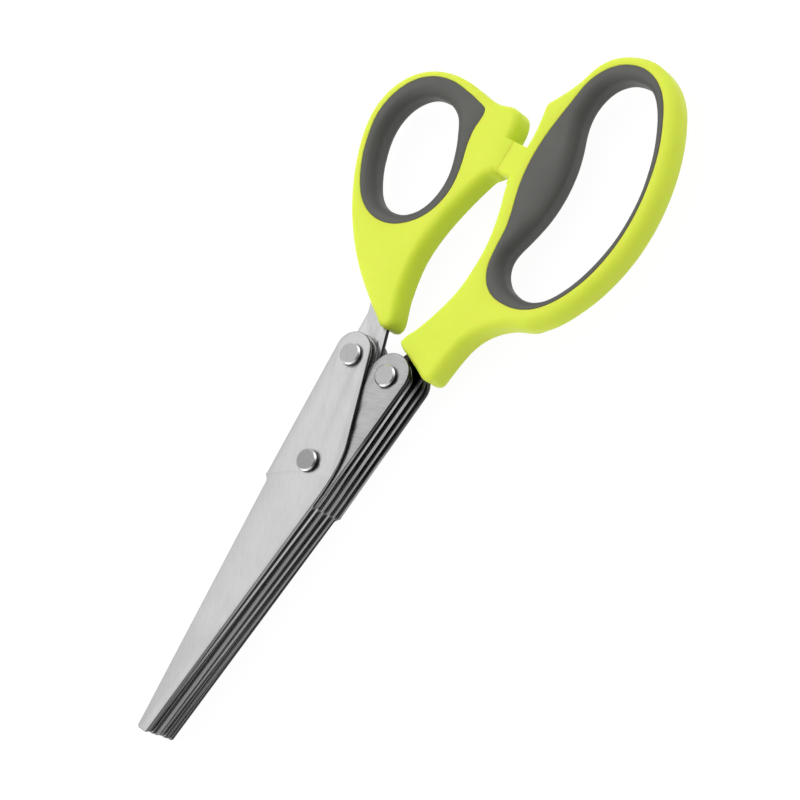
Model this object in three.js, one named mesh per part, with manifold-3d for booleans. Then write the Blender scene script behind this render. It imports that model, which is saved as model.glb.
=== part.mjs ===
// Herb scissors: two stacks of five thin blades on one pivot, and two loop handles with soft grips.
// Millimetres. +Y runs from the blade tips to the handles and +Z is the front face.
// The origin lies on the pivot axis, in the plane that the scissors lie on.
import * as THREE from 'three';
import { mergeVertices } from 'three/addons/utils/BufferGeometryUtils.js';
import Module from 'manifold-3d';

const wasm = await Module();
wasm.setup();

// Blade stacks. A thumb blade lies in front, then a finger blade, and so on in turn.
// The middle blade of each stack carries the handle and is of thicker steel.
const bladesPerHalf = 5;
const bladeThickness = 1.05;
const tangBladeThickness = 1.35;
const bladeGap = 0.2;

// Outline of a thumb blade; a finger blade is its mirror image about the long axis.
// A reach is measured from the long axis, and a drop from the pivot towards the tips.
const bladeReach = 76;
const tipCuttingReach = 1.5;
const tipSpineReach = 1.46;
const tipCornerRadius = 0.4;
const heelReach = 8.4;
const heelDrop = 7.85;
const heelStepDepth = 1.1;
const heelStepLength = 2.1;
const spineKneeReach = 8.9;
const spineKneeRise = 3.25;
const spineCurveBelow = 10.5;
const spineCurveAbove = 5.2;
const tailRivetReach = 5.56;
const tailRivetRise = 27.1;
// The tail's round end is centred further out and higher than its rivet.
const tailRadius = 5;
const tailEndShift = 0.36;
const tailEndRise = 0.93;

// Tang of the middle blade of each stack, measured from the tail rivet.
const tangNeckRise = 10.5;
const tangNeckShift = 2.3;
const tangNeckWidth = 7.3;
const tangEndRise = 23.5;
const tangEndShift = 7.4;
const tangEndWidth = 6;
const anchorHoleRadius = 1.5;
const anchorRise = 17.5;

// Rivets and the spacing washers between the tails.
const rivetShankRadius = 1.8;
const rivetHeadRadius = 2.8;
const rivetHeadHeight = 1.1;
const rivetHeadChamfer = 0.25;
const rivetSeatGap = 0.1;
const rivetHoleClearance = 0.25;
const spacerRadius = 4;

// Handles.
const handleThickness = 8;
const handleEdgeRadius = 1.2;
const partingGap = 0.3;

// Thumb loop: its opening, the soft grip around that, and the plastic shell around the grip.
const thumbOpeningWidth = 23.4;
const thumbOpeningHeight = 30.4;
const thumbGripWalls = { left: 3.4, right: 3.4, bottom: 3, top: 4.8 };
const thumbShellWalls = { left: 2.4, right: 7.1, bottom: 21.8, top: 1.7 };
const thumbHandleInset = 4.16;
const thumbHandleRise = 9.4;

// Finger loop, long enough for two or three fingers, with a swelling on its inner side.
const fingerOpeningWidth = 26.5;
const fingerOpeningHeight = 58.8;
const fingerGripWalls = { left: 5.1, right: 1.5, bottom: 3.1, top: 2.7 };
const fingerShellWalls = { left: 4.4, right: 3.8, bottom: 25.3, top: 2.8 };
const fingerHandleInset = 2.9;
const fingerHandleRise = 3.9;

// Edge radius of both soft grips, around the openings.
const gripEdgeRadius = 1.2;

// Stop tabs, which meet when the scissors are closed.
const stopSeamOffset = 0.25;
const stopTabRise = 55.1;
const stopTabHeight = 8.9;
const stopTabRoot = 4;
const thumbTabFillet = 3.4;
const fingerTabFillet = 0.9;
const thumbTabSetback = 1.5;
const fingerTabSetback = 1.5;
// Reach of a tab's fillet along the tab, as a share of its height.
const tabFilletShare = 0.6;

// How far a cutter runs past the faces that it cuts through.
const cutOverrun = 1;

// Steps of the round forms.
const arcSteps = 8;
const edgeSteps = 2;
const rivetSides = 20;
const stepsPerOutlinePoint = 2;

// Outlines as shares of the width and height of their own box, from its lower left corner.
const thumbShellShares = [
  [0.904, 0.001], [0.953, 0.008], [0.971, 0.035], [0.960, 0.072], [0.931, 0.120], [0.894, 0.190],
  [0.866, 0.280], [0.864, 0.375],
  [0.882, 0.475], [0.919, 0.580], [0.961, 0.680], [0.988, 0.775], [1.000, 0.865], [0.990, 0.943],
  [0.953, 0.988], [0.892, 0.999], [0.801, 0.985], [0.693, 0.985], [0.550, 1.000], [0.393, 0.999],
  [0.241, 0.970], [0.113, 0.912], [0.029, 0.830], [0.000, 0.730], [0.021, 0.630], [0.081, 0.525],
  [0.169, 0.420], [0.283, 0.315], [0.424, 0.217], [0.585, 0.130], [0.743, 0.062], [0.852, 0.020],
];
const thumbGripShares = [
  [0.565, 0.000], [0.710, 0.028], [0.845, 0.105], [0.942, 0.212], [0.992, 0.335], [0.995, 0.455],
  [0.960, 0.585], [0.915, 0.700], [0.898, 0.800], [0.905, 0.900], [0.885, 0.948], [0.790, 0.970],
  [0.640, 0.990], [0.470, 1.000], [0.310, 0.975], [0.175, 0.912], [0.072, 0.812], [0.014, 0.690],
  [0.000, 0.560], [0.034, 0.425], [0.100, 0.285], [0.190, 0.165], [0.300, 0.070], [0.425, 0.015],
];
const thumbOpeningShares = [
  [0.610, 0.000], [0.765, 0.028], [0.885, 0.105], [0.965, 0.215], [1.000, 0.355], [0.985, 0.505],
  [0.920, 0.660], [0.825, 0.805], [0.710, 0.930], [0.570, 0.990], [0.415, 1.000], [0.265, 0.975],
  [0.140, 0.908], [0.045, 0.800], [0.000, 0.660], [0.012, 0.505], [0.072, 0.350], [0.160, 0.210],
  [0.280, 0.090], [0.435, 0.018],
];
const fingerShellShares = [
  [0.000, 0.051], [0.100, 0.031], [0.185, 0.015], [0.262, 0.001], [0.320, 0.010], [0.340, 0.040],
  [0.350, 0.083], [0.368, 0.127], [0.410, 0.169], [0.486, 0.208], [0.581, 0.234], [0.687, 0.254],
  [0.786, 0.294], [0.858, 0.349], [0.916, 0.406], [0.959, 0.466], [0.988, 0.530], [1.000, 0.598],
  [0.991, 0.668], [0.963, 0.738], [0.918, 0.804], [0.856, 0.867], [0.776, 0.923], [0.680, 0.965],
  [0.567, 0.991], [0.450, 1.000], [0.326, 0.988], [0.224, 0.960], [0.152, 0.919], [0.113, 0.871],
  [0.079, 0.836], [0.030, 0.797], [0.000, 0.775], [0.012, 0.740], [0.027, 0.693], [0.031, 0.638],
  [0.034, 0.583], [0.050, 0.533], [0.088, 0.486], [0.124, 0.434], [0.148, 0.379], [0.156, 0.319],
  [0.150, 0.261], [0.126, 0.202], [0.088, 0.148], [0.042, 0.098],
];
const fingerGripShares = [
  [0.430, 0.000], [0.565, 0.010], [0.700, 0.046], [0.810, 0.105], [0.895, 0.183], [0.956, 0.272],
  [0.992, 0.370], [1.000, 0.470], [0.985, 0.570], [0.944, 0.670], [0.880, 0.768], [0.790, 0.862],
  [0.675, 0.943], [0.540, 0.988], [0.395, 1.000], [0.250, 0.977], [0.138, 0.925], [0.068, 0.855],
  [0.040, 0.768], [0.014, 0.675], [0.000, 0.583], [0.005, 0.498], [0.035, 0.407], [0.088, 0.322],
  [0.128, 0.248], [0.146, 0.168], [0.175, 0.090], [0.240, 0.034], [0.330, 0.006],
];
const fingerOpeningShares = [
  [0.400, 0.000], [0.550, 0.006], [0.700, 0.044], [0.820, 0.118], [0.910, 0.215], [0.972, 0.322],
  [1.000, 0.435], [0.988, 0.545], [0.943, 0.655], [0.866, 0.765], [0.760, 0.865], [0.630, 0.945],
  [0.486, 0.992], [0.335, 1.000], [0.185, 0.982], [0.072, 0.935], [0.012, 0.870], [0.000, 0.798],
  [0.034, 0.727], [0.098, 0.655], [0.162, 0.570], [0.202, 0.475], [0.208, 0.385], [0.188, 0.300],
  [0.146, 0.222], [0.104, 0.162], [0.094, 0.112], [0.140, 0.060], [0.250, 0.016],
];

// Places in the stack are counted from the front: 0 is the first thumb blade, 1 the first finger blade.
const lastPlace = 2 * bladesPerHalf - 1;
const middleBlade = Math.ceil(bladesPerHalf / 2);

function thicknessAt(place) {
  const number = Math.floor(place / 2) + 1;
  return number === middleBlade ? tangBladeThickness : bladeThickness;
}

// Underside of the blade at a place in the stack.
const stackBottom = rivetHeadHeight + rivetSeatGap;
function levelBottom(place) {
  let z = stackBottom;
  for (let behind = place + 1; behind <= lastPlace; behind += 1) {
    z += thicknessAt(behind) + bladeGap;
  }
  return z;
}

function levelTop(place) {
  return levelBottom(place) + thicknessAt(place);
}

const stackTop = levelTop(0);
const handleBottom = (stackBottom + stackTop) / 2 - handleThickness / 2;

// Each half, with the side of the long axis that its tail lies on.
const thumb = { name: 'thumb', side: -1, firstLevel: 0 };
const finger = { name: 'finger', side: 1, firstLevel: 1 };

// Materials.
const steel = { color: 0xc6c8ca, roughness: 0.34, metalness: 1 };
const rivetSteel = { color: 0x9b9c9e, roughness: 0.45, metalness: 1 };
const limePlastic = { color: 0xdcef4e, roughness: 0.42, metalness: 0 };
const softGrey = { color: 0x63645f, roughness: 0.75, metalness: 0 };

function namedMesh(name, geometry, finish) {
  const mesh = new THREE.Mesh(geometry, new THREE.MeshStandardMaterial({ ...finish, flatShading: true }));
  mesh.name = name;
  return mesh;
}

// A closed geometry as a solid that can be joined and cut.
function toSolid(geometry) {
  const bare = geometry.clone();
  bare.deleteAttribute('normal');
  bare.deleteAttribute('uv');
  const merged = mergeVertices(bare);
  return new wasm.Manifold(new wasm.Mesh({
    numProp: 3,
    vertProperties: merged.attributes.position.array,
    triVerts: new Uint32Array(merged.index.array),
  }));
}

function toGeometry(solid) {
  const mesh = solid.getMesh();
  const geometry = new THREE.BufferGeometry();
  geometry.setAttribute('position', new THREE.BufferAttribute(mesh.vertProperties, mesh.numProp));
  geometry.setIndex(new THREE.BufferAttribute(mesh.triVerts, 1));
  geometry.computeVertexNormals();
  return geometry;
}

// A flat plate of an outline, with its underside at z.
function plate(shape, z, thickness) {
  const geometry = new THREE.ExtrudeGeometry(shape, {
    depth: thickness,
    bevelEnabled: false,
    curveSegments: arcSteps,
  });
  geometry.translate(0, 0, z);
  return geometry;
}

// Point where a line from a place touches a circle; the side is that of the place seen along the line.
function tangentPoint(from, centre, radius, side) {
  const away = from.clone().sub(centre);
  const turn = Math.acos(radius / away.length());
  return away.setLength(radius).rotateAround(new THREE.Vector2(), side * turn).add(centre);
}

function angleAbout(centre, point) {
  return Math.atan2(point.y - centre.y, point.x - centre.x);
}

function between(from, to, distance) {
  return from.clone().add(to.clone().sub(from).setLength(distance));
}

const thumbRivetCentre = new THREE.Vector2(-tailRivetReach, tailRivetRise);
const thumbTailCentre = new THREE.Vector2(-tailRivetReach - tailEndShift, tailRivetRise + tailEndRise);

// Corners of the tang, wider by a clearance where the slot for it is wanted.
function tangCorners(clearance) {
  const neckX = thumbRivetCentre.x - tangNeckShift;
  const neckY = thumbRivetCentre.y + tangNeckRise;
  const endX = thumbRivetCentre.x - tangEndShift;
  const endY = thumbRivetCentre.y + tangEndRise + clearance;
  const neckHalf = tangNeckWidth / 2 + clearance;
  const endHalf = tangEndWidth / 2 + clearance;
  return {
    neckRight: new THREE.Vector2(neckX + neckHalf, neckY),
    endRight: new THREE.Vector2(endX + endHalf, endY),
    endLeft: new THREE.Vector2(endX - endHalf, endY),
    neckLeft: new THREE.Vector2(neckX - neckHalf, neckY),
  };
}

// Hole in the tang that the handle's plastic fills.
function anchorCentre() {
  const share = (anchorRise - tangNeckRise) / (tangEndRise - tangNeckRise);
  const shift = tangNeckShift + (tangEndShift - tangNeckShift) * share;
  return new THREE.Vector2(thumbRivetCentre.x - shift, thumbRivetCentre.y + anchorRise);
}

function roundHole(centre, radius) {
  const hole = new THREE.Path();
  hole.absarc(centre.x, centre.y, radius, 0, 2 * Math.PI, true);
  return hole;
}

// Outline of a thumb blade: cutting edge on the left, spine on the right, tail at the upper left.
function bladeShape(hasTang) {
  const tipLeft = new THREE.Vector2(-tipCuttingReach, -bladeReach);
  const tipRight = new THREE.Vector2(tipSpineReach, -bladeReach);
  const knee = new THREE.Vector2(spineKneeReach, spineKneeRise);
  const heel = new THREE.Vector2(-heelReach, -heelDrop);
  const stepFoot = new THREE.Vector2(-heelReach + heelStepDepth, -heelDrop - heelStepLength);
  const spineTouch = tangentPoint(knee, thumbTailCentre, tailRadius, 1);
  const outerTouch = tangentPoint(heel, thumbTailCentre, tailRadius, -1);
  const spineStart = between(knee, tipRight, spineCurveBelow);
  const spineEnd = between(knee, spineTouch, spineCurveAbove);
  const shape = new THREE.Shape();
  const leftIn = between(tipLeft, tipRight, tipCornerRadius);
  const rightIn = between(tipRight, tipLeft, tipCornerRadius);
  const rightUp = between(tipRight, spineStart, tipCornerRadius);
  const leftUp = between(tipLeft, stepFoot, tipCornerRadius);
  shape.moveTo(leftIn.x, leftIn.y);
  shape.lineTo(rightIn.x, rightIn.y);
  shape.lineTo(rightUp.x, rightUp.y);
  shape.lineTo(spineStart.x, spineStart.y);
  shape.quadraticCurveTo(knee.x, knee.y, spineEnd.x, spineEnd.y);
  if (hasTang) {
    const tang = tangCorners(0);
    for (const corner of [tang.neckRight, tang.endRight, tang.endLeft, tang.neckLeft]) {
      shape.lineTo(corner.x, corner.y);
    }
    shape.lineTo(outerTouch.x, outerTouch.y);
    shape.holes.push(roundHole(anchorCentre(), anchorHoleRadius));
  } else {
    const start = angleAbout(thumbTailCentre, spineTouch);
    const end = angleAbout(thumbTailCentre, outerTouch);
    shape.absarc(thumbTailCentre.x, thumbTailCentre.y, tailRadius, start, end, false);
  }
  shape.lineTo(heel.x, heel.y);
  const stepMiddle = (heel.y + stepFoot.y) / 2;
  shape.bezierCurveTo(heel.x, stepMiddle, stepFoot.x, stepMiddle, stepFoot.x, stepFoot.y);
  shape.lineTo(leftUp.x, leftUp.y);
  const holeRadius = rivetShankRadius + rivetHoleClearance;
  shape.holes.push(roundHole(new THREE.Vector2(), holeRadius));
  shape.holes.push(roundHole(thumbRivetCentre, holeRadius));
  return shape;
}

// Turns a solid of the thumb half over to the side of the long axis that a half lies on.
function toSide(solid, half) {
  return half.side < 0 ? solid : solid.mirror([1, 0, 0]);
}

function bladePlace(half, number) {
  return half.firstLevel + 2 * (number - 1);
}

function makeBlade(half, number) {
  const shape = bladeShape(number === middleBlade);
  const place = bladePlace(half, number);
  const solid = toSolid(plate(shape, levelBottom(place), thicknessAt(place)));
  return namedMesh(`${half.name}_blade_${number}`, toGeometry(toSide(solid, half)), steel);
}

// Washer on a tail rivet, at the level of the other half's blade and as thick.
function makeSpacer(half, number) {
  const shape = new THREE.Shape();
  shape.absarc(half.side * tailRivetReach, tailRivetRise, spacerRadius, 0, 2 * Math.PI, false);
  const centre = new THREE.Vector2(half.side * tailRivetReach, tailRivetRise);
  shape.holes.push(roundHole(centre, rivetShankRadius + rivetHoleClearance));
  const place = bladePlace(half, number) + 1;
  const washer = plate(shape, levelBottom(place), thicknessAt(place));
  return namedMesh(`${half.name}_spacer_${number}`, washer, steel);
}

// Rivet with a flat head at both ends, between two faces of the stack.
function makeRivet(name, centre, lowFace, highFace) {
  const low = lowFace - rivetSeatGap;
  const high = highFace + rivetSeatGap;
  const headEdge = rivetHeadRadius - rivetHeadChamfer;
  const profile = [
    [0, low - rivetHeadHeight],
    [headEdge, low - rivetHeadHeight],
    [rivetHeadRadius, low - rivetHeadHeight + rivetHeadChamfer],
    [rivetHeadRadius, low],
    [rivetShankRadius, low],
    [rivetShankRadius, high],
    [rivetHeadRadius, high],
    [rivetHeadRadius, high + rivetHeadHeight - rivetHeadChamfer],
    [headEdge, high + rivetHeadHeight],
    [0, high + rivetHeadHeight],
  ].map(([radius, z]) => new THREE.Vector2(radius, z));
  const geometry = new THREE.LatheGeometry(profile, rivetSides);
  geometry.rotateX(Math.PI / 2);
  geometry.translate(centre.x, centre.y, 0);
  return namedMesh(name, toGeometry(toSolid(geometry)), rivetSteel);
}

function makeTailRivet(half) {
  const centre = new THREE.Vector2(half.side * tailRivetReach, tailRivetRise);
  const lowFace = levelBottom(bladePlace(half, bladesPerHalf));
  const highFace = levelTop(bladePlace(half, 1));
  return makeRivet(`${half.name}_rivet`, centre, lowFace, highFace);
}

// Box around a box, wider by a wall on each side.
function boxAround(box, walls) {
  return {
    left: box.left - walls.left,
    bottom: box.bottom - walls.bottom,
    width: box.width + walls.left + walls.right,
    height: box.height + walls.bottom + walls.top,
  };
}

// Closed smooth outline through shares of a box.
function outline(shares, box) {
  const through = shares.map(([x, y]) => (
    new THREE.Vector3(box.left + x * box.width, box.bottom + y * box.height, 0)
  ));
  const curve = new THREE.CatmullRomCurve3(through, true, 'centripetal');
  const points = curve.getPoints(through.length * stepsPerOutlinePoint).slice(0, -1);
  return points.map((point) => new THREE.Vector2(point.x, point.y));
}

// The same outline, moved outwards by a distance.
function grown(points, distance) {
  const last = points.length - 1;
  return points.map((point, i) => {
    const before = points[i === 0 ? last : i - 1];
    const after = points[i === last ? 0 : i + 1];
    const along = after.clone().sub(before).normalize();
    return new THREE.Vector2(point.x + along.y * distance, point.y - along.x * distance);
  });
}

// A slab whose outer edges are rounded on both faces.
function roundedSlab(points, radius) {
  const geometry = new THREE.ExtrudeGeometry(new THREE.Shape(points), {
    depth: handleThickness - 2 * radius,
    bevelThickness: radius,
    bevelSize: radius,
    bevelOffset: -radius,
    bevelSegments: edgeSteps,
  });
  geometry.translate(0, 0, handleBottom + radius);
  return toSolid(geometry);
}

// A cutter through the handle that leaves the edges of its hole rounded.
function flaredCutter(points, radius) {
  const geometry = new THREE.ExtrudeGeometry(new THREE.Shape(points), {
    depth: handleThickness - 2 * radius,
    bevelThickness: radius,
    bevelSize: -radius,
    bevelOffset: radius,
    bevelSegments: edgeSteps,
  });
  geometry.translate(0, 0, handleBottom + radius);
  return toSolid(geometry);
}

// Slot that the tang fills, with a peg through the tang's hole.
function tangSlot(half) {
  const tang = tangCorners(partingGap);
  const reach = tailRadius + tailEndShift + partingGap;
  const shape = new THREE.Shape([
    new THREE.Vector2(thumbRivetCentre.x - reach, thumbRivetCentre.y),
    new THREE.Vector2(thumbRivetCentre.x + reach, thumbRivetCentre.y),
    tang.neckRight,
    tang.endRight,
    tang.endLeft,
    tang.neckLeft,
  ]);
  shape.holes.push(roundHole(anchorCentre(), anchorHoleRadius - partingGap));
  const bottom = levelBottom(bladePlace(half, middleBlade)) - partingGap;
  return toSide(toSolid(plate(shape, bottom, tangBladeThickness + 2 * partingGap)), half);
}

// Block that reaches from the side of a handle to the seam where the two handles meet.
function stopTab(half) {
  const seamX = stopSeamOffset + half.side * partingGap / 2;
  const bottom = tailRivetRise + stopTabRise;
  const top = bottom + stopTabHeight;
  const rootX = half.tabRootX;
  const inside = rootX + half.side * stopTabRoot;
  const filletFoot = bottom - half.tabFillet;
  const filletRun = Math.min(half.tabFillet * tabFilletShare, Math.abs(seamX - rootX));
  const shape = new THREE.Shape();
  shape.moveTo(seamX, top);
  shape.lineTo(inside, top);
  shape.lineTo(inside, filletFoot);
  shape.lineTo(rootX, filletFoot);
  shape.quadraticCurveTo(rootX, bottom, rootX - half.side * filletRun, bottom);
  shape.lineTo(seamX, bottom);
  return toSolid(plate(shape, handleBottom, handleThickness));
}

function openingBox(right, bottom, width, height) {
  return { left: right - width, bottom, width, height };
}

// Boxes of the thumb loop, set from the tail rivet.
const thumbShellRight = -tailRivetReach + thumbHandleInset;
const thumbShellBottom = tailRivetRise + thumbHandleRise;
const thumbOpeningBox = openingBox(
  thumbShellRight - thumbShellWalls.right - thumbGripWalls.right,
  thumbShellBottom + thumbShellWalls.bottom + thumbGripWalls.bottom,
  thumbOpeningWidth,
  thumbOpeningHeight,
);
thumb.opening = outline(thumbOpeningShares, thumbOpeningBox);
const thumbGripBox = boxAround(thumbOpeningBox, thumbGripWalls);
thumb.grip = outline(thumbGripShares, thumbGripBox);
thumb.shell = outline(thumbShellShares, boxAround(thumbGripBox, thumbShellWalls));
thumb.tabRootX = thumbShellRight - thumbTabSetback;
thumb.tabFillet = thumbTabFillet;

// Boxes of the finger loop.
const fingerShellLeft = tailRivetReach - fingerHandleInset;
const fingerShellBottom = tailRivetRise + fingerHandleRise;
const fingerOpeningBox = openingBox(
  fingerShellLeft + fingerShellWalls.left + fingerGripWalls.left + fingerOpeningWidth,
  fingerShellBottom + fingerShellWalls.bottom + fingerGripWalls.bottom,
  fingerOpeningWidth,
  fingerOpeningHeight,
);
finger.opening = outline(fingerOpeningShares, fingerOpeningBox);
const fingerGripBox = boxAround(fingerOpeningBox, fingerGripWalls);
finger.grip = outline(fingerGripShares, fingerGripBox);
finger.shell = outline(fingerShellShares, boxAround(fingerGripBox, fingerShellWalls));
finger.tabRootX = fingerShellLeft + fingerTabSetback;
finger.tabFillet = fingerTabFillet;

// Plastic shell of a handle, open where the soft grip sits and slotted for the tang.
function makeHandle(half) {
  const pocketShape = new THREE.Shape(grown(half.grip, partingGap));
  const pocket = toSolid(plate(pocketShape, handleBottom - cutOverrun, handleThickness + 2 * cutOverrun));
  const solid = roundedSlab(half.shell, handleEdgeRadius)
    .add(stopTab(half))
    .subtract(pocket)
    .subtract(tangSlot(half));
  return namedMesh(`${half.name}_handle`, toGeometry(solid), limePlastic);
}

// Soft grip, flush with the faces of the shell.
function makeGrip(half) {
  const body = toSolid(plate(new THREE.Shape(half.grip), handleBottom, handleThickness));
  const solid = body.subtract(flaredCutter(half.opening, gripEdgeRadius));
  return namedMesh(`${half.name}_soft_grip`, toGeometry(solid), softGrey);
}

function makeHalf(half) {
  const group = new THREE.Group();
  for (let number = 1; number <= bladesPerHalf; number += 1) {
    group.add(makeBlade(half, number));
  }
  for (let number = 1; number < bladesPerHalf; number += 1) {
    group.add(makeSpacer(half, number));
  }
  group.add(makeTailRivet(half), makeHandle(half), makeGrip(half));
  return group;
}

const scissors = new THREE.Group();
scissors.add(makeHalf(thumb), makeHalf(finger));
scissors.add(makeRivet('pivot_rivet', new THREE.Vector2(), stackBottom, stackTop));

export default scissors;
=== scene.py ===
# Herb scissors: lime handles with grey grips, ten steel blades, three rivets and their washers.
import math

import bmesh
import bpy
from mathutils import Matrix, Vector


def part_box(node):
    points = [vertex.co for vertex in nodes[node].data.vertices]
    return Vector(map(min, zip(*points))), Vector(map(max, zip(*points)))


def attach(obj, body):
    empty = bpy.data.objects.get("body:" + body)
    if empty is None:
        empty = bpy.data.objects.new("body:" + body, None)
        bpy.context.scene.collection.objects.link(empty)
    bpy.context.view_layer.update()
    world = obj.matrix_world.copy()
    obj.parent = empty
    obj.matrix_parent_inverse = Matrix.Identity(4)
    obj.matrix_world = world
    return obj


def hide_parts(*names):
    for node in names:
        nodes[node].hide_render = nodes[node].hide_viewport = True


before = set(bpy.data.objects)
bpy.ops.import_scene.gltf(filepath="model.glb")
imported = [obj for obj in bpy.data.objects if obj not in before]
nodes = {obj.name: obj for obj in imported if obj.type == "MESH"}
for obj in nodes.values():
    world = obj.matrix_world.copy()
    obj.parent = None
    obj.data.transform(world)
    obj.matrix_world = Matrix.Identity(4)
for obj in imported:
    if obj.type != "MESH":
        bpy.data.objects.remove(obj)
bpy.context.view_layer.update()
mm = 0.001
print("frame loaded")

same = 0.0001 * mm  # heights closer than this are one height
merging = {"node": 0.002 * mm, "section": 0.01 * mm, "mirror": 0.005 * mm}  # closer points become one
flatWithin = {"tilt": 1, "corner": 180}  # triangles of a flat face, degrees
softened = (3, 2)  # neighbours on each side and rounds of averaging


def deselectAll():
    for thing in bpy.context.selected_objects:
        thing.select_set(False)


def useOnly(thing):
    deselectAll()
    thing.select_set(True)
    bpy.context.view_layer.objects.active = thing


def copyOf(nodeName, newName):  # a merged copy of a frame node, free to be reshaped
    mesh = nodes[nodeName].data.copy()
    mesh.materials.clear()
    piece = bpy.data.objects.new(newName, mesh)
    bpy.context.scene.collection.objects.link(piece)
    useOnly(piece)
    bpy.ops.object.mode_set(mode="EDIT")
    bpy.ops.mesh.select_all(action="SELECT")
    bpy.ops.mesh.remove_doubles(threshold=merging["node"])
    bpy.ops.mesh.tris_convert_to_quads(face_threshold=math.radians(flatWithin["tilt"]),
                                       shape_threshold=math.radians(flatWithin["corner"]))
    bpy.ops.object.mode_set(mode="OBJECT")
    return piece


def editWhere(piece, kind, wanted):  # opens edit mode with the parts selected that a test picks
    useOnly(piece)
    bpy.ops.object.mode_set(mode="EDIT")
    bpy.ops.mesh.select_all(action="DESELECT")
    bpy.ops.mesh.select_mode(type=kind)
    shape = bmesh.from_edit_mesh(piece.data)
    for part in {"VERT": shape.verts, "EDGE": shape.edges, "FACE": shape.faces}[kind]:
        if wanted(part):
            part.select_set(True)
    shape.select_flush_mode()
    bmesh.update_edit_mesh(piece.data)


def bevelWhere(piece, wanted, width, segments):
    editWhere(piece, "EDGE", wanted)
    bpy.ops.mesh.bevel(offset=width, segments=segments, affect="EDGES")
    bpy.ops.object.mode_set(mode="OBJECT")


def smoothBy(piece, degrees):
    useOnly(piece)
    bpy.ops.object.shade_smooth_by_angle(angle=math.radians(degrees))


def union(piece, other):
    useOnly(piece)
    join = piece.modifiers.new("union", "BOOLEAN")
    join.operation = "UNION"
    join.solver = "EXACT"
    join.object = other
    bpy.ops.object.modifier_apply(modifier=join.name)
    bpy.data.objects.remove(other)


def sectionLoops(nodeName, height):  # outlines of a frame node at a height, longest first
    piece = copyOf(nodeName, "section")
    bpy.ops.object.mode_set(mode="EDIT")
    bpy.ops.mesh.select_all(action="SELECT")
    bpy.ops.mesh.bisect(plane_co=(0, 0, height), plane_no=(0, 0, 1), clear_inner=True, clear_outer=True)
    bpy.ops.mesh.select_all(action="SELECT")
    bpy.ops.mesh.remove_doubles(threshold=merging["section"])
    bpy.ops.object.mode_set(mode="OBJECT")
    bpy.ops.object.convert(target="CURVE")
    loops = []
    for spline in piece.data.splines:
        loops.append([Vector((point.co.x, point.co.y)) for point in spline.points])
    bpy.data.objects.remove(piece)
    loops.sort(key=lambda loop: -loopLength(loop))
    return [loop if turnsLeft(loop) else loop[::-1] for loop in loops]


def loopLength(loop):
    return sum((loop[i] - loop[i - 1]).length for i in range(len(loop)))


def turnsLeft(loop):
    return sum(loop[i - 1].cross(loop[i]) for i in range(len(loop))) > 0


curveSteps = 12  # between two points of a smooth curve
rounding = 0.001 * same  # of added lengths


def smoothLoop(loop, spacing):  # even points along a smooth closed curve through a loop
    curve = bpy.data.curves.new("outline", "CURVE")
    curve.dimensions = "3D"
    spline = curve.splines.new("BEZIER")
    spline.bezier_points.add(len(loop) - 1)
    for point, place in zip(spline.bezier_points, loop):
        point.co = (place.x, place.y, 0)
        point.handle_left_type = point.handle_right_type = "AUTO"
    spline.use_cyclic_u = True
    spline.resolution_u = curveSteps
    wire = bpy.data.objects.new("outline", curve)
    bpy.context.scene.collection.objects.link(wire)
    useOnly(wire)
    bpy.ops.object.convert(target="MESH")
    fine = [Vector(vert.co.xy) for vert in wire.data.vertices]
    bpy.data.objects.remove(wire)
    return evenLoop(fine, spacing)


def evenLoop(loop, spacing):
    count = round(loopLength(loop) / spacing)
    step = loopLength(loop) / count
    points, travelled, due = [], 0, 0
    for i in range(len(loop)):
        start, end = loop[i], loop[(i + 1) % len(loop)]
        length = (end - start).length
        while due < travelled + length - rounding and len(points) < count:
            points.append(start.lerp(end, (due - travelled) / length))
            due += step
        travelled += length
    return points


def inwardAt(loop):  # unit vectors square to a loop, to its left
    result = []
    for i in range(len(loop)):
        along = (loop[(i + 1) % len(loop)] - loop[i - 1]).normalized()
        result.append(Vector((-along.y, along.x)))
    return result


def distanceTo(place, loop):
    return min((place - other).length for other in loop)


def averaged(values, reach, rounds):
    count = len(values)
    for _ in range(rounds):
        values = [sum(values[(i + k) % count] for k in range(-reach, reach + 1)) / (2 * reach + 1)
                  for i in range(count)]
    return values


# The chords about a point, from near to far in steps, that tell how tightly a loop bends there, the share
# taken of that radius, and the neighbours on each side that take the least of it.
bendTest = {"near": 2, "far": 18, "share": 0.85, "neighbours": 3}


def roomBeside(loop, most):  # how far each point may move to its left before the outline folds over itself
    inward = inwardAt(loop)
    count = len(loop)
    room = []
    for i in range(count):
        limit = most
        for k in range(bendTest["near"], bendTest["far"]):
            before, after = loop[i - k], loop[(i + k) % count]
            sag = ((before + after) / 2 - loop[i]).dot(inward[i])
            if sag > 0:
                half = (after - before).length / 2
                limit = min(limit, bendTest["share"] * (half * half + sag * sag) / (2 * sag))
        room.append(limit)
    reach = bendTest["neighbours"]
    room = [min(room[(i + k) % count] for k in range(-reach, reach + 1)) for i in range(count)]
    return averaged(room, *softened)


nearness = {"least": 0.1, "power": -3}  # how a mark counts with its distance in mm


def valueNear(place, marks, column):  # a value between marks (x, y, values in mm)
    total, weights = 0, 0
    for mark in marks:
        distance = max((place - Vector(mark[:2]) * mm).length / mm, nearness["least"])
        weight = distance ** nearness["power"]
        total += weight * mark[column]
        weights += weight
    return total / weights * mm


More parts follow.
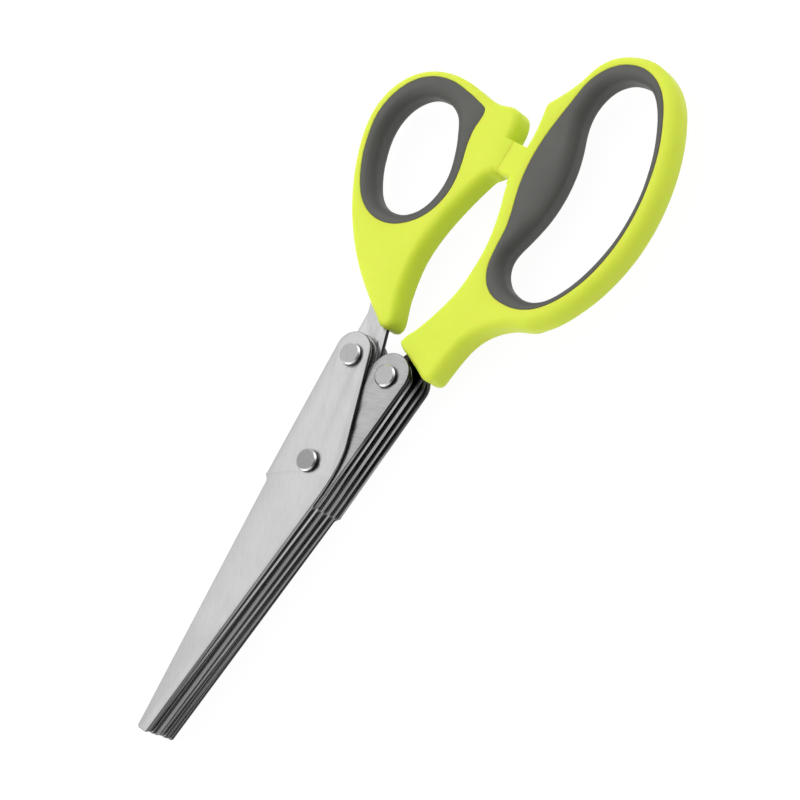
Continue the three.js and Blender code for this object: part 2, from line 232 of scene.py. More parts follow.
def ringMesh(name, rings):  # a skin over rings of equal length, each a list of points
    mesh = bpy.data.meshes.new(name)
    piece = bpy.data.objects.new(name, mesh)
    bpy.context.scene.collection.objects.link(piece)
    shape = bmesh.new()
    rows = [[shape.verts.new(place) for place in ring] for ring in rings]
    for lower, upper in zip(rows, rows[1:]):
        for i in range(len(lower)):
            k = (i + 1) % len(lower)
            shape.faces.new((lower[i], lower[k], upper[k], upper[i]))
    shape.to_mesh(mesh)
    shape.free()
    return piece


def atHeight(part, height):
    return all(abs(vert.co.z - height) < same for vert in part.verts)


def fillBetween(piece, height):  # flat faces between the two open rims at a height
    editWhere(piece, "EDGE", lambda edge: edge.is_boundary and atHeight(edge, height))
    bpy.ops.mesh.fill(use_beauty=True)
    bpy.ops.object.mode_set(mode="OBJECT")


def mirrorBack(piece, middle):  # the same form behind the middle plane
    useOnly(piece)
    bpy.ops.object.mode_set(mode="EDIT")
    bpy.ops.mesh.select_all(action="SELECT")
    bpy.ops.mesh.duplicate()
    bpy.ops.transform.resize(value=(1, 1, -1), center_override=(0, 0, middle))
    bpy.ops.mesh.select_all(action="SELECT")
    bpy.ops.mesh.remove_doubles(threshold=merging["mirror"])
    bpy.ops.mesh.normals_make_consistent(inside=False)
    bpy.ops.object.mode_set(mode="OBJECT")


def joined(pieces, name):
    deselectAll()
    for piece in pieces:
        piece.select_set(True)
    bpy.context.view_layer.objects.active = pieces[0]
    bpy.ops.object.join()
    pieces[0].name = name
    pieces[0].data.name = name
    return pieces[0]


view = {
    "place": (0.45387, 0.04213, 0.67212),  # metres
    "turn": (18.4838, 28.8442, 37.0559),  # degrees
    "lens": 150.2,
    "nearest": 0.01,  # metres
}
bpy.ops.object.camera_add(location=view["place"], rotation=[math.radians(angle) for angle in view["turn"]])
camera = bpy.context.object
camera.data.lens = view["lens"]
camera.data.clip_start = view["nearest"]
bpy.context.scene.camera = camera


def newMaterial(name):
    material = bpy.data.materials.new(name)
    material.use_nodes = True
    tree = material.node_tree
    return material, tree, tree.nodes["Principled BSDF"]


def addNode(tree, kind, settings=None, values=None, feeds=None):  # values are constants, feeds are outputs
    node = tree.nodes.new(kind)
    for key, value in (settings or {}).items():
        setattr(node, key, value)
    for key, value in (values or {}).items():
        node.inputs[key].default_value = value
    for key, output in (feeds or {}).items():
        tree.links.new(output, node.inputs[key])
    return node


floorLook = {"size": 3, "drop": 0.02 * mm, "tone": 0.9, "shadowShare": 0.08, "glow": 1.04}


def makeFloor():
    look = floorLook
    bpy.ops.mesh.primitive_plane_add(size=look["size"], location=(0, 0, -look["drop"]))
    floor = bpy.context.object
    floor.name = "floor"
    material = bpy.data.materials.new("paleFloor")
    material.use_nodes = True
    tree = material.node_tree
    tree.nodes.clear()
    matt = addNode(tree, "ShaderNodeBsdfDiffuse", values={"Color": (*(look["tone"],) * 3, 1)})
    white = addNode(tree, "ShaderNodeEmission", values={"Strength": look["glow"]})
    rays = addNode(tree, "ShaderNodeLightPath")  # steel shows the white floor as the camera does
    seen = addNode(tree, "ShaderNodeMath", {"operation": "MAXIMUM"}, feeds={
        0: rays.outputs["Is Camera Ray"], 1: rays.outputs["Is Glossy Ray"]})
    share = addNode(tree, "ShaderNodeMath", {"operation": "MULTIPLY"}, {1: 1 - look["shadowShare"]},
                    {0: seen.outputs[0]})
    mix = addNode(tree, "ShaderNodeMixShader", feeds={
        0: share.outputs[0], 1: matt.outputs[0], 2: white.outputs[0]})
    addNode(tree, "ShaderNodeOutputMaterial", feeds={0: mix.outputs[0]})
    floor.data.materials.append(material)


# A pale studio, dimmer near the horizon, whose front right side, towards the darkest direction, is unlit.
studio = {"darkest": (0.559, 0.052, 0.827), "darkTone": 0.04, "darkTo": 0.9, "paleFrom": 0.74,
          "lowTone": 0.6, "lowTo": 0.2, "highTone": 1.1, "highFrom": 0.75}


def makeStudio():
    look = studio
    world = bpy.data.worlds.new("studio")
    bpy.context.scene.world = world
    world.use_nodes = True
    tree = world.node_tree
    coords = addNode(tree, "ShaderNodeTexCoord")
    facing = addNode(tree, "ShaderNodeVectorMath", {"operation": "DOT_PRODUCT"}, {1: look["darkest"]},
                     {0: coords.outputs["Generated"]})
    pale = addNode(tree, "ShaderNodeMapRange", {"interpolation_type": "SMOOTHSTEP"}, {
        "From Min": look["darkTo"], "From Max": look["paleFrom"], "To Min": look["darkTone"], "To Max": 1},
        {"Value": facing.outputs["Value"]})
    parts = addNode(tree, "ShaderNodeSeparateXYZ", feeds={0: coords.outputs["Generated"]})
    height = addNode(tree, "ShaderNodeMapRange", {"interpolation_type": "SMOOTHSTEP"}, {
        "From Min": look["lowTo"], "From Max": look["highFrom"],
        "To Min": look["lowTone"], "To Max": look["highTone"]}, {"Value": parts.outputs["Z"]})
    both = addNode(tree, "ShaderNodeMath", {"operation": "MULTIPLY"}, feeds={
        0: pale.outputs[0], 1: height.outputs[0]})
    rays = addNode(tree, "ShaderNodeLightPath")
    strength = addNode(tree, "ShaderNodeMath", {"operation": "MAXIMUM"}, feeds={
        0: both.outputs[0], 1: rays.outputs["Is Camera Ray"]})
    tree.nodes["Background"].inputs["Color"].default_value = (1, 1, 1, 1)
    tree.links.new(strength.outputs[0], tree.nodes["Background"].inputs["Strength"])


softBoxes = {
    "overhead": {"place": (-0.75, 0.05, 1.1), "size": 1.7, "power": 6},
    "handleSide": {"place": (0.2, 1, 0.45), "size": 0.8, "power": 2},
    "tipSide": {"place": (-0.1, -1, 0.3), "size": 0.8, "power": 2},
}


def makeSoftBox(name):
    look = softBoxes[name]
    bpy.ops.object.light_add(type="AREA", location=look["place"])
    light = bpy.context.object
    light.name = name
    light.data.energy = look["power"]
    light.data.size = look["size"]
    light.rotation_euler = Vector(look["place"]).to_track_quat("Z", "Y").to_euler()


makeFloor()
makeStudio()
for name in softBoxes:
    makeSoftBox(name)
print("camera, floor and light set")


def noiseOn(tree, scale, detail, stretch=(1, 1, 1), turn=0):  # stretched along a direction, degrees from +X
    coords = addNode(tree, "ShaderNodeTexCoord")
    mapping = addNode(tree, "ShaderNodeMapping", {"vector_type": "TEXTURE"}, {
        "Scale": stretch, "Rotation": (0, 0, math.radians(turn))}, {"Vector": coords.outputs["Object"]})
    noise = addNode(tree, "ShaderNodeTexNoise", values={"Scale": scale, "Detail": detail},
                    feeds={"Vector": mapping.outputs[0]})
    return noise.outputs["Fac"]


def ranged(tree, source, low, high, fromLow=0.3, fromHigh=0.7):  # noise mostly lies within 0.3 and 0.7
    scaled = addNode(tree, "ShaderNodeMapRange", values={
        "From Min": fromLow, "From Max": fromHigh, "To Min": low, "To Max": high}, feeds={"Value": source})
    return scaled.outputs["Result"]


def bumped(tree, shader, source, distance):
    bump = addNode(tree, "ShaderNodeBump", values={"Distance": distance}, feeds={"Height": source})
    tree.links.new(bump.outputs[0], shader.inputs["Normal"])


def mixed(tree, share, first, second):  # each colour is a value or another mix
    mix = addNode(tree, "ShaderNodeMix", {"data_type": "RGBA"}, feeds={"Factor": share})
    for key, colour in (("A", first), ("B", second)):
        if isinstance(colour, tuple):
            mix.inputs[key].default_value = (*colour, 1)
        else:
            tree.links.new(colour, mix.inputs[key])
    return mix.outputs["Result"]


# Noises are scale and detail.
lime = {"dark": (0.735, 0.86, 0.075), "light": (0.775, 0.89, 0.088), "cloud": (60, 3), "fine": (4500, 2),
        "rough": (0.4, 0.48), "grain": 0.004 * mm, "specular": 0.15, "glow": 0.4,
        "glowRadius": (0.5, 1, 0.15), "glowDepth": 2 * mm}


def limePlastic():
    material, tree, shader = newMaterial("limePlastic")
    cloud = noiseOn(tree, *lime["cloud"])
    fine = noiseOn(tree, *lime["fine"])
    colour = mixed(tree, ranged(tree, cloud, 0, 1), lime["dark"], lime["light"])
    tree.links.new(colour, shader.inputs["Base Color"])
    tree.links.new(ranged(tree, fine, *lime["rough"]), shader.inputs["Roughness"])
    bumped(tree, shader, fine, lime["grain"])
    shader.inputs["Specular IOR Level"].default_value = lime["specular"]
    shader.inputs["Subsurface Weight"].default_value = lime["glow"]
    shader.inputs["Subsurface Radius"].default_value = lime["glowRadius"]
    shader.inputs["Subsurface Scale"].default_value = lime["glowDepth"]
    return material


rubber = {"dark": (0.076, 0.077, 0.069), "light": (0.09, 0.091, 0.082), "cloud": (90, 4), "fine": (3800, 3),
          "rough": (0.5, 0.6), "grain": 0.006 * mm}


def greyRubber():
    material, tree, shader = newMaterial("greySoftRubber")
    cloud = noiseOn(tree, *rubber["cloud"])
    fine = noiseOn(tree, *rubber["fine"])
    colour = mixed(tree, ranged(tree, cloud, 0, 1), rubber["dark"], rubber["light"])
    tree.links.new(colour, shader.inputs["Base Color"])
    tree.links.new(ranged(tree, fine, *rubber["rough"]), shader.inputs["Roughness"])
    bumped(tree, shader, fine, rubber["grain"])
    return material


# Finishes of the steel, several of them carrying painted shade and painted highlights as noted below. Brushed
# ones are stretched along a direction turned from +X, in degrees.
steelNoise = {"lines": (3200, 3), "cloud": (120, 4)}
steelLooks = {
    "thumbFace": {"dark": 0.365, "light": 0.405, "rough": (0.3, 0.38), "grain": 0.0012 * mm,
                  "brush": (12, 118)},
    # darker than the thumb face: painted shade for the finger blade's face lying in the shade of the thumb
    # blades
    "fingerFace": {"dark": 0.265, "light": 0.325, "rough": (0.3, 0.38), "grain": 0.0015 * mm,
                   "brush": (14, 20)},
    # inner faces of the blade stack, darker than the outer faces: painted shade between the blades
    "bladeInsideShade": {"dark": 0.26, "light": 0.31, "rough": (0.16, 0.22), "grain": 0.0006 * mm,
                    "brush": (12, 20)},
    "tangFace": {"dark": 0.36, "light": 0.43, "rough": (0.25, 0.32), "grain": 0.001 * mm,
                 "brush": (12, 118)},
    # near-black walls of the cutting edges below the heel: painted shade and painted dark reflection
    "cuttingEdgeShade": {"dark": 0.004, "light": 0.016, "rough": (0.2, 0.3), "grain": 0.002 * mm,
                   "brush": (6, 90)},
    # rivet head faces: one steel in three tones, darker than the blades, as painted shade for how each head
    # catches the light; the pivot head's is darkest
    "thumbRivetFace": {"dark": 0.24, "light": 0.35, "rough": (0.3, 0.42), "grain": 0.002 * mm},
    "pivotRivetFace": {"dark": 0.17, "light": 0.24, "rough": (0.3, 0.42), "grain": 0.002 * mm},
    "fingerRivetFace": {"dark": 0.26, "light": 0.34, "rough": (0.3, 0.42), "grain": 0.002 * mm},
    # chamfered rims of the heads, far brighter than their faces: painted highlight
    "rivetRimHighlight": {"dark": 0.7, "light": 0.8, "rough": (0.25, 0.35), "grain": 0.001 * mm},
    # side walls of the heads, near black: painted shade
    "rivetWallShade": {"dark": 0.1, "light": 0.16, "rough": (0.25, 0.35), "grain": 0.001 * mm},
    "washerSteel": {"dark": 0.2, "light": 0.28, "rough": (0.3, 0.4), "grain": 0.001 * mm},
}


def steel(name):
    look = steelLooks[name]
    material, tree, shader = newMaterial(name)
    stretch, turn = look.get("brush", (1, 0))
    lines = noiseOn(tree, *steelNoise["lines"], (stretch, 1, 1), turn)
    cloud = noiseOn(tree, *steelNoise["cloud"])
    colour = mixed(tree, ranged(tree, lines, 0, 1), (look["dark"],) * 3, (look["light"],) * 3)
    tree.links.new(colour, shader.inputs["Base Color"])
    tree.links.new(ranged(tree, cloud, *look["rough"]), shader.inputs["Roughness"])
    bumped(tree, shader, lines, look["grain"])
    shader.inputs["Metallic"].default_value = 1
    return material


# Sheared walls of the blades, whose tone changes along them as painted shade and painted reflection: marks
# are y in mm and tone.
wallLook = {"from": -80, "to": 40, "vary": 0.12, "rough": (0.2, 0.32), "grain": 0.0015 * mm}
wallShadeTones = {
    "thumb1": [(-70, 0.1), (-48, 0.17), (-30, 0.28), (-6, 0.3), (3, 0.2), (12, 0.1)],
    "thumb2": [(-70, 0.09), (-60, 0.17), (-48, 0.31), (-36, 0.38), (-12, 0.46), (-6, 0.4), (3, 0.2),
               (12, 0.1)],
    "thumb3": [(-76, 0.21), (-6, 0.22), (3, 0.2), (12, 0.1), (26, 0.06), (30, 0.01)],
    "thumb4": [(-70, 0.17), (-60, 0.22), (-50, 0.3), (-40, 0.28), (-8, 0.33), (3, 0.2), (12, 0.1)],
    "thumb5": [(-70, 0.09), (-55, 0.15), (-40, 0.19), (-8, 0.2), (3, 0.12), (12, 0.08)],
    "finger1": [(-8, 0.2), (0, 0.2), (6, 0.26), (12, 0.06), (16, 0.03), (30, 0.02)],
    "finger2": [(-8, 0.25), (0, 0.25), (10, 0.44), (24, 0.47), (27, 0.2), (29, 0.02)],
    "finger3": [(-8, 0.23), (0, 0.23), (10, 0.37), (24, 0.4), (27, 0.15), (29, 0.02)],
    "finger4": [(-8, 0.24), (0, 0.24), (10, 0.34), (24, 0.3), (27, 0.1), (29, 0.02)],
    "finger5": [(-8, 0.26), (8, 0.3), (14, 0.11), (24, 0.11), (27, 0.04)],
    "fingerTang": [(-76, 0.28), (23, 0.28), (27, 0.08), (30, 0.02)],  # its faces, with painted shade by the handle
}


def wallSteel(name, marks):
    look = wallLook
    material, tree, shader = newMaterial(name)
    coords = addNode(tree, "ShaderNodeTexCoord")
    parts = addNode(tree, "ShaderNodeSeparateXYZ", feeds={0: coords.outputs["Object"]})
    along = ranged(tree, parts.outputs["Y"], 0, 1, look["from"] * mm, look["to"] * mm)
    ramp = addNode(tree, "ShaderNodeValToRGB", feeds={"Fac": along})
    places = [(y - look["from"]) / (look["to"] - look["from"]) for y, _ in marks]
    elements = ramp.color_ramp.elements
    elements[0].position, elements[1].position = places[0], places[-1]
    for place in places[1:-1]:
        elements.new(place)
    for element, (_, tone) in zip(elements, marks):
        element.color = (tone, tone, tone, 1)
    grain = noiseOn(tree, *steelNoise["lines"])
    varied = addNode(tree, "ShaderNodeVectorMath", {"operation": "SCALE"}, feeds={
        0: ramp.outputs["Color"], "Scale": ranged(tree, grain, 1 - look["vary"], 1 + look["vary"])})
    tree.links.new(varied.outputs[0], shader.inputs["Base Color"])
    cloud = noiseOn(tree, *steelNoise["cloud"])
    tree.links.new(ranged(tree, cloud, *look["rough"]), shader.inputs["Roughness"])
    bumped(tree, shader, grain, look["grain"])
    shader.inputs["Metallic"].default_value = 1
    return material


limeFinish = limePlastic()
rubberFinish = greyRubber()
steelFinish = {name: steel(name) for name in steelLooks}
for name, marks in wallShadeTones.items():
    steelFinish[name + "Wall"] = wallSteel(name + "Wall", marks)
print("materials made")


def dressed(piece, rider, node):
    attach(piece, rider)
    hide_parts(node)


handleLow, handleHigh = (corner.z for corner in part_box("thumb_handle"))
handleMiddle = (handleLow + handleHigh) / 2
sectionDepth = 1.65 * mm  # below the front face: above the tang's slot and below the rounded edge
sectionHeight = handleHigh - sectionDepth
frameSeam = 0.3 * mm  # gap between shell and grip in the frame


def roundedRings(loop, across, drop, steps):  # rings from an upright wall over a rounded edge to the face
    rings = []
    inward = inwardAt(loop)
    for step in range(steps + 1):
        angle = math.pi / 2 * step / steps
        ring = []
        for i, place in enumerate(loop):
            spot = place + inward[i] * across[i] * (1 - math.cos(angle))
            ring.append((spot.x, spot.y, handleHigh - drop[i] * (1 - math.sin(angle))))
        rings.append(ring)
    return rings


def wallAndEdge(name, loop, across, drop, steps):  # the front half of a wall with a rounded edge
    foot = [(place.x, place.y, handleMiddle) for place in loop]
    return ringMesh(name, [foot] + roundedRings(loop, across, drop, steps))


seamSteps = 2  # of the rounded edges at the seam between shell and grip


# How far the seam between shell and grip lies inside the frame's: x, y and inset in mm.
seamInsets = {
    "thumb": [(-10, 84, 0.26), (-12, 92, 0.5), (-18, 96, 0.33), (-25, 96, 0.24), (-34, 92, 0.17),
              (-38, 84, 0.12), (-36, 71, 0.24), (-34, 67, 0.27), (-28, 60, 0.19), (-17, 60, 0.19),
              (-10, 66, 0.04), (-9, 72, 0.07), (-9.5, 79, 0.16)],
    "finger": [(39, 96, 0.24), (37, 103, 0.18), (32, 113, 0.3), (21, 121, 0.15), (13, 117, 0.08),
               (8.5, 105, 0.16), (8, 99, 0.16), (7, 90, 0.18), (9, 80, 0.21), (11, 75, 0.27), (13, 63, 0.15),
               (17, 58, 0.3), (27, 58, 0.2), (34, 64, 0.3), (39, 73, 0.18), (40, 85, 0.17)],
}


def insetLoop(loop, marks):  # for a loop that turns left
    insets = averaged([valueNear(place, marks, 2) for place in loop], *softened)
    return [place + into * inset for place, into, inset in zip(loop, inwardAt(loop), insets)]


shellShape = {"spacing": 0.5 * mm, "steps": 8, "softened": (2, 2), "leastFlat": 0.5 * mm,
              "pocketEdge": 0.16 * mm, "seam": 0.04 * mm, "smooth": 35}

# Edge radii (x, y, radius in mm) round each shell. Where the tab stands, the outline runs through the foot's
# points.
thumbShell = {
    "half": "thumb",
    "node": "thumb_handle",
    "name": "thumbShell",
    "marks": [(-5, 38, 1.6), (-8, 42, 1.4), (-4, 44, 2.25), (-7, 60, 2.3), (-4, 74, 2.2), (-2.6, 80, 1.9),
              (-2, 86, 1.9), (-1.5, 92, 2.2), (-2, 96, 2.2), (-8, 97.5, 1.6), (-20, 98, 1.3), (-30, 97, 1.6),
              (-40, 87, 1.8), (-41, 80, 1.6), (-34, 60, 1.35), (-28, 55, 1.4), (-20, 48, 1.3)],
    "tabPart": lambda x, y: x > -3.4 and 78.4 < y < 92,
    "foot": [(-2.9, 78.45), (-2.5, 79.65), (-1.95, 80.8), (-1.1, 81.65), (-0.52, 82.4), (-0.35, 83.7),
             (-0.45, 88.5), (-0.9, 90.4), (-1.4, 91.6)],
}
fingerShell = {
    "half": "finger",
    "node": "finger_handle",
    "name": "fingerShell",
    "marks": [(3, 36, 0.8), (8, 33, 0.9), (13, 31, 1.8), (16, 35, 2.6), (16.5, 42, 2.2), (21, 49, 2.1),
              (29, 53, 2.6), (36, 58, 3.9), (41, 68, 3.5), (44, 86, 3.5), (41, 105, 3.9), (38, 112, 4),
              (32, 120, 2.8), (20, 123, 2), (10, 117, 1.1), (2.7, 103, 0.7), (4, 90, 1), (5, 70, 1.2),
              (8, 60, 1.2), (7, 46, 1)],
    "tabPart": lambda x, y: x < 4 and 81 < y < 92,
    "foot": [],
}


def makeShell(shell):
    shape = shellShape
    loops = sectionLoops(shell["node"], sectionHeight)
    plain = [place for place in loops[0] if not shell["tabPart"](place.x / mm, place.y / mm)]
    gap = max(range(len(plain)), key=lambda i: (plain[i] - plain[i - 1]).length)
    plain[gap:gap] = [Vector(spot) * mm for spot in shell["foot"]]
    low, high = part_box(shell["node"])
    outer = [Vector((min(max(place.x, low.x), high.x), min(max(place.y, low.y), high.y)))
             for place in smoothLoop(plain, shape["spacing"])]
    pocket = insetLoop(smoothLoop(loops[1], shape["spacing"]), seamInsets[shell["half"]])
    room = roomBeside(outer, handleHigh - handleMiddle)
    radii = []
    for place, space in zip(outer, room):
        face = distanceTo(place, pocket) - shape["leastFlat"]
        radii.append(min(valueNear(place, shell["marks"], 2), space, face))
    radii = averaged(radii, *shape["softened"])
    skin = wallAndEdge(shell["name"], outer, radii, radii, shape["steps"])
    edge = [shape["pocketEdge"]] * len(pocket)
    lining = wallAndEdge("lining", pocket[::-1], edge, edge, seamSteps)
    body = joined([skin, lining], shell["name"])
    fillBetween(body, handleHigh)
    mirrorBack(body, handleMiddle)
    return body


# Stop tabs. Their top and underside tilt a little towards the finger loop.
stopTabs = {
    "seamX": 0.25 * mm, "seam": 0.02 * mm, "sunk": 0.01 * mm,
    "topAtSeam": 91.06 * mm, "topTilt": 0.055, "underAtSeam": 82.6 * mm, "underTilt": 0.083,
    "topEdge": (0.3 * mm, 3), "underEdge": (1.5 * mm, 7), "seamEdge": (0.1 * mm, 2),  # width and steps
    "long": 1 * mm, "level": 0.1 * mm, "atSeam": 0.001 * mm,
    "insideX": {"thumb": -7 * mm, "finger": 5.6 * mm},
}


def makeTab(half):
    tab = stopTabs
    side = -1 if half == "thumb" else 1
    seamX = tab["seamX"] + side * tab["seam"]
    insideX = tab["insideX"][half]
    middleX = (seamX + insideX) / 2
    height = handleHigh - handleLow - 2 * tab["sunk"]
    middleY = (tab["topAtSeam"] + tab["underAtSeam"]) / 2
    deselectAll()
    bpy.ops.mesh.primitive_cube_add(size=1, location=(middleX, middleY, handleMiddle), scale=(
        abs(seamX - insideX), tab["topAtSeam"] - tab["underAtSeam"], height))
    piece = bpy.context.object
    bpy.ops.object.transform_apply(location=True, rotation=True, scale=True)
    for above, tilt in ((True, tab["topTilt"]), (False, tab["underTilt"])):
        editWhere(piece, "VERT", lambda vert: (vert.co.x - middleX) * side > 0
                  and (vert.co.y > middleY) == above)
        bpy.ops.transform.translate(value=(0, (insideX - seamX) * tilt, 0))
        bpy.ops.object.mode_set(mode="OBJECT")

    def isLong(edge, above):  # edges that run from the seam into the handle
        start, end = (vert.co for vert in edge.verts)
        level = abs(start.z - end.z) < tab["level"]
        return abs(start.x - end.x) > tab["long"] and (start.y > middleY) == above and level

    def isAtSeam(edge):
        return all(abs(vert.co.x - seamX) < tab["atSeam"] for vert in edge.verts)

    bevelWhere(piece, lambda edge: isLong(edge, False), *tab["underEdge"])
    bevelWhere(piece, lambda edge: isLong(edge, True), *tab["topEdge"])
    bevelWhere(piece, isAtSeam, *tab["seamEdge"])
    return piece


for shell in (thumbShell, fingerShell):
    body = makeShell(shell)
    union(body, makeTab(shell["half"]))
    body.data.materials.append(limeFinish)
    smoothBy(body, shellShape["smooth"])
    dressed(body, shell["half"] + "_half", shell["node"])
print("shells and stop tabs made")


# Soft grips. Marks are x, y, how far the rounding reaches across the grip and how deep it drops, in mm.
# Insets are x, y and how far the opening is narrower there than the frame's.
gripShape = {"spacing": 0.5 * mm, "steps": 12, "seamEdge": 0.14 * mm, "beside": 0.34 * mm,
             "mostAcross": 7 * mm, "smooth": 40}
thumbGrip = {
    "half": "thumb",
    "node": "thumb_soft_grip",
    "name": "thumbGrip",
    "marks": [(-36, 75, 2.7, 3), (-24, 91, 4, 3), (-13, 84, 2.9, 3.2), (-20, 60, 2.6, 3.2),
              (-12, 72, 2.9, 3.2), (-33, 88, 2.8, 3)],
    "insets": [(-14, 82, 0.23), (-18, 88, 0.32), (-28, 90, 0.22), (-35, 79, 0.2), (-33, 71, 0.34),
               (-31, 66, 0.45), (-26, 62, 0.25), (-20, 63, 0.4), (-13, 68, 0.18), (-12, 75, 0.08)],
}
fingerGrip = {
    "half": "finger",
    "node": "finger_soft_grip",
    "name": "fingerGrip",
    "marks": [(17, 84, 6, 2.3), (14, 66, 3, 3), (15, 104, 3.4, 3), (24, 119, 2, 2.4), (32, 112, 1.2, 2),
              (39, 90, 1.2, 2.4), (25, 58, 2.6, 2.8)],
    "insets": [(38, 93, 0.04), (36, 103, 0.22), (32, 111, 0.3), (26, 116, 0.36), (18, 116, 0.48),
               (12, 110, 0.43), (13, 102, 0.3), (15, 96, 0.36), (17, 87, 0.22), (17, 77, 0.25),
               (15, 67, 0.42), (20, 60, 0.36), (29, 62, 0.2), (37, 75, 0.15), (39, 85, 0.1)],
}


def makeGrip(grip):
    shape = gripShape
    loops = sectionLoops(grip["node"], sectionHeight)
    grow = frameSeam - shellShape["seam"]
    outer = smoothLoop(loops[0], shape["spacing"])
    outer = [place - into * grow for place, into in zip(outer, inwardAt(outer))]
    outer = insetLoop(outer, seamInsets[grip["half"]])
    opening = insetLoop(smoothLoop(loops[1], shape["spacing"]), grip["insets"])[::-1]
    edge = [shape["seamEdge"]] * len(outer)
    skin = wallAndEdge(grip["name"], outer, edge, edge, seamSteps)
    across, drop = [], []
    for place, space in zip(opening, roomBeside(opening, shape["mostAcross"])):
        wall = distanceTo(place, outer) - shape["beside"]
        across.append(min(valueNear(place, grip["marks"], 2), space, wall))
        drop.append(valueNear(place, grip["marks"], 3))
    across, drop = averaged(across, *softened), averaged(drop, *softened)
    lining = wallAndEdge("lining", opening, across, drop, shape["steps"])
    body = joined([skin, lining], grip["name"])
    fillBetween(body, handleHigh)
    mirrorBack(body, handleMiddle)
    body.data.materials.append(rubberFinish)
    smoothBy(body, shape["smooth"])
    return body


for grip in (thumbGrip, fingerGrip):
    dressed(makeGrip(grip), grip["half"] + "_half", grip["node"])
print("grips made")


bladeShape = {"edge": 0.18 * mm, "tangEdge": 0.13 * mm, "tangBlade": 3, "steps": 2, "edgeShadeBelow": -8.6 * mm,
              "flat": 0.7, "count": 5, "sharp": 50, "smooth": 40}

# Small differences between the blades. Above and below are along the blades. The round end of a tail grows
# about its rivet, but not the hole. A tip is narrower on the side towards the finger loop. The neck of a tang
# moves across the long axis.
tailChange = {
    "above": 24 * mm, "hole": 3 * mm,
    "growth": {"thumb1": 0.975, "thumb4": 0.97, "thumb5": 0.8,
               "finger1": 1.045, "finger2": 0.95, "finger3": 0.95},
}
tipChange = {
    "below": -70 * mm,
    "inset": {"thumb2": 1 * mm, "thumb3": 0.4 * mm, "thumb4": 1.25 * mm, "thumb5": 0.9 * mm,
              "finger1": 1 * mm, "finger2": 0.6 * mm, "finger3": 1.25 * mm, "finger4": 0.8 * mm,
              "finger5": 0.65 * mm},
}
neckChange = {
    "above": 36 * mm, "below": 39 * mm, "within": 6 * mm,
    "shift": {"thumb3": -0.2 * mm, "finger3": 1.1 * mm},
}


def adjustBlade(blade, half, number):
    key = half + str(number)
    if key in tailChange["growth"]:
        low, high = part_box(half + "_rivet")
        rivet = Vector(((low.x + high.x) / 2, (low.y + high.y) / 2))
        editWhere(blade, "VERT", lambda vert: vert.co.y > tailChange["above"]
                  and (vert.co.xy - rivet).length > tailChange["hole"])
        growth = tailChange["growth"][key]
        bpy.ops.transform.resize(value=(growth, growth, 1), center_override=(rivet.x, rivet.y, 0))
        bpy.ops.object.mode_set(mode="OBJECT")
    if key in tipChange["inset"]:
        editWhere(blade, "VERT", lambda vert: vert.co.y < tipChange["below"] and vert.co.x > 0)
        bpy.ops.transform.translate(value=(-tipChange["inset"][key], 0, 0))
        bpy.ops.object.mode_set(mode="OBJECT")
    if key in neckChange["shift"]:
        editWhere(blade, "VERT", lambda vert: neckChange["above"] < vert.co.y < neckChange["below"]
                  and abs(vert.co.x) < neckChange["within"])
        bpy.ops.transform.translate(value=(neckChange["shift"][key], 0, 0))
        bpy.ops.object.mode_set(mode="OBJECT")


def makeBlade(half, number):
    shape = bladeShape
    blade = copyOf(half + "_blade_" + str(number), half + "Blade" + str(number))
    side = 1 if half == "finger" else -1
    withTang = number == shape["tangBlade"]
    adjustBlade(blade, half, number)
    sharp = math.radians(shape["sharp"])
    bevelWhere(blade, lambda edge: len(edge.link_faces) == 2 and edge.calc_face_angle() > sharp,
               shape["tangEdge" if withTang else "edge"], shape["steps"])
    wall = half + str(number) + "Wall"
    finishes = [half + "Face", "bladeInsideShade", wall, "cuttingEdgeShade", "tangFace", "fingerTangWall"]
    # the thumb tang's inner faces keep a face tone; the finger tang's take painted shade by the handle
    inside = ("tangFace" if half == "thumb" else "fingerTangWall") if withTang else "bladeInsideShade"
    for name in finishes:
        blade.data.materials.append(steelFinish[name])
    for face in blade.data.polygons:
        centre, normal = face.center, face.normal
        if abs(normal.z) < shape["flat"]:
            # walls on the cutting side below the heel take the near-black painted shade, the others their
            # painted tones along them
            ground = centre.y < shape["edgeShadeBelow"] and centre.x * side > 0
            name = "cuttingEdgeShade" if ground else wall
        else:
            outside = (normal.z > 0 and number == 1) or (normal.z < 0 and number == shape["count"])
            name = half + "Face" if outside else inside
        face.material_index = finishes.index(name)
    smoothBy(blade, shape["smooth"])
    return blade


for half in ("thumb", "finger"):
    for number in range(1, bladeShape["count"] + 1):
        node = half + "_blade_" + str(number)
        dressed(makeBlade(half, number), half + "_half", node)
print("blades made")


rivetShape = {"sides": 72, "shank": 1.8 * mm, "head": 2.8 * mm, "height": 1.1 * mm, "rim": (0.38 * mm, 1),
              "flat": 0.95, "upright": 0.3, "smooth": 30}


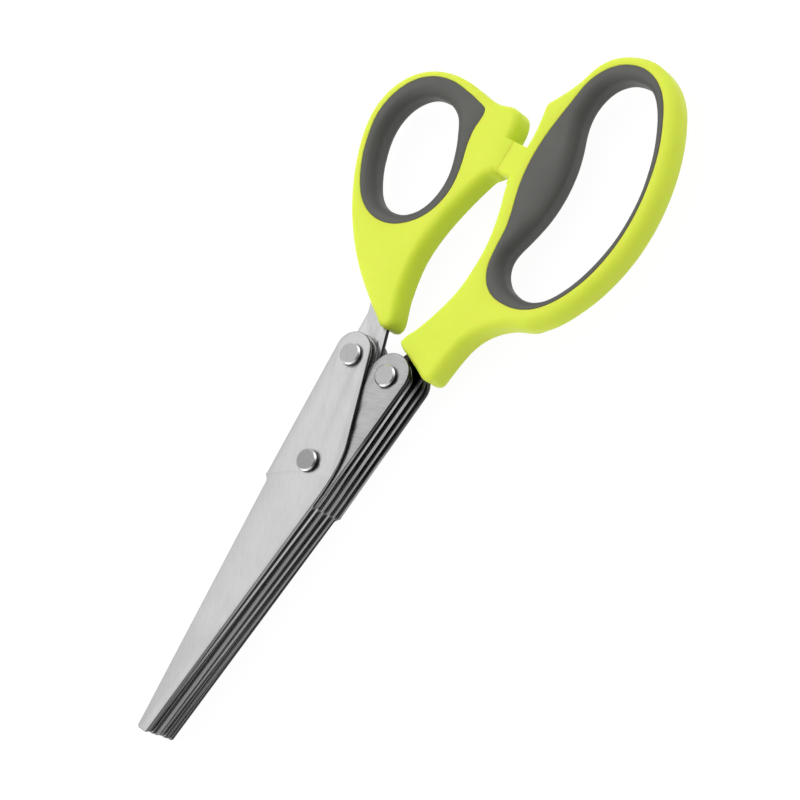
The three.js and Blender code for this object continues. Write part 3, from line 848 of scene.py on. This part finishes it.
def makeRivet(node, name):
    shape = rivetShape
    low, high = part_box(node)
    centre = (low + high) / 2
    deselectAll()
    shankLength = high.z - low.z - 2 * shape["height"]
    bpy.ops.mesh.primitive_cylinder_add(vertices=shape["sides"], radius=shape["shank"], depth=shankLength,
                                        location=centre)
    rivet = bpy.context.object
    rivet.name = rivet.data.name = name
    bpy.ops.object.transform_apply(location=True, rotation=True, scale=True)
    wide = shape["head"] / shape["shank"]
    for side in (1, -1):
        end = centre.z + side * shankLength / 2
        editWhere(rivet, "FACE", lambda face: atHeight(face, end))
        bpy.ops.mesh.extrude_region_move()
        bpy.ops.transform.resize(value=(wide, wide, 1), center_override=(centre.x, centre.y, end))
        bpy.ops.mesh.extrude_region_move(TRANSFORM_OT_translate={"value": (0, 0, side * shape["height"])})
        bpy.ops.object.mode_set(mode="OBJECT")
        top = end + side * shape["height"]
        bevelWhere(rivet, lambda edge: atHeight(edge, top), *shape["rim"])
    # head faces, rims and side walls take separate tones: the rims a painted highlight, the walls painted
    # shade
    for finish in (name + "Face", "rivetRimHighlight", "rivetWallShade"):
        rivet.data.materials.append(steelFinish[finish])
    for face in rivet.data.polygons:
        lean = abs(face.normal.z)
        face.material_index = 0 if lean > shape["flat"] else 2 if lean < shape["upright"] else 1
    smoothBy(rivet, shape["smooth"])
    return rivet


dressed(makeRivet("pivot_rivet", "pivotRivet"), "finger_half", "pivot_rivet")
dressed(makeRivet("thumb_rivet", "thumbRivet"), "thumb_half", "thumb_rivet")
dressed(makeRivet("finger_rivet", "fingerRivet"), "finger_half", "finger_rivet")

washerShape = {"sides": 60, "outer": 4 * mm, "hole": 2.05 * mm, "thick": mm, "edge": (0.08 * mm, 2),
               "count": 4, "sharp": 60, "smooth": 40}


def makeWasher():  # one washer at the origin, whose copies get their own thickness
    shape = washerShape
    deselectAll()
    bpy.ops.mesh.primitive_circle_add(vertices=shape["sides"], radius=shape["outer"])
    washer = bpy.context.object
    bpy.ops.object.mode_set(mode="EDIT")
    bpy.ops.mesh.primitive_circle_add(vertices=shape["sides"], radius=shape["hole"])
    bpy.ops.mesh.select_all(action="SELECT")
    bpy.ops.mesh.bridge_edge_loops()
    bpy.ops.mesh.select_all(action="SELECT")
    bpy.ops.mesh.extrude_region_move(TRANSFORM_OT_translate={"value": (0, 0, shape["thick"])})
    bpy.ops.mesh.select_all(action="SELECT")
    bpy.ops.mesh.normals_make_consistent(inside=False)
    bpy.ops.object.mode_set(mode="OBJECT")
    bevelWhere(washer, lambda edge: edge.calc_face_angle(0) > math.radians(shape["sharp"]), *shape["edge"])
    washer.data.materials.append(steelFinish["washerSteel"])
    smoothBy(washer, shape["smooth"])
    return washer


washer = makeWasher()
for half in ("thumb", "finger"):
    for number in range(1, washerShape["count"] + 1):
        node = half + "_spacer_" + str(number)
        low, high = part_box(node)
        piece = bpy.data.objects.new(half + "Washer" + str(number), washer.data.copy())
        bpy.context.scene.collection.objects.link(piece)
        piece.location = ((low.x + high.x) / 2, (low.y + high.y) / 2, low.z)
        piece.scale = (1, 1, (high.z - low.z) / washerShape["thick"])
        useOnly(piece)
        bpy.ops.object.transform_apply(location=True, rotation=True, scale=True)
        dressed(piece, half + "_half", node)
bpy.data.objects.remove(washer)
print("rivets and washers made")

bpy.context.scene.view_settings.view_transform = "Standard"
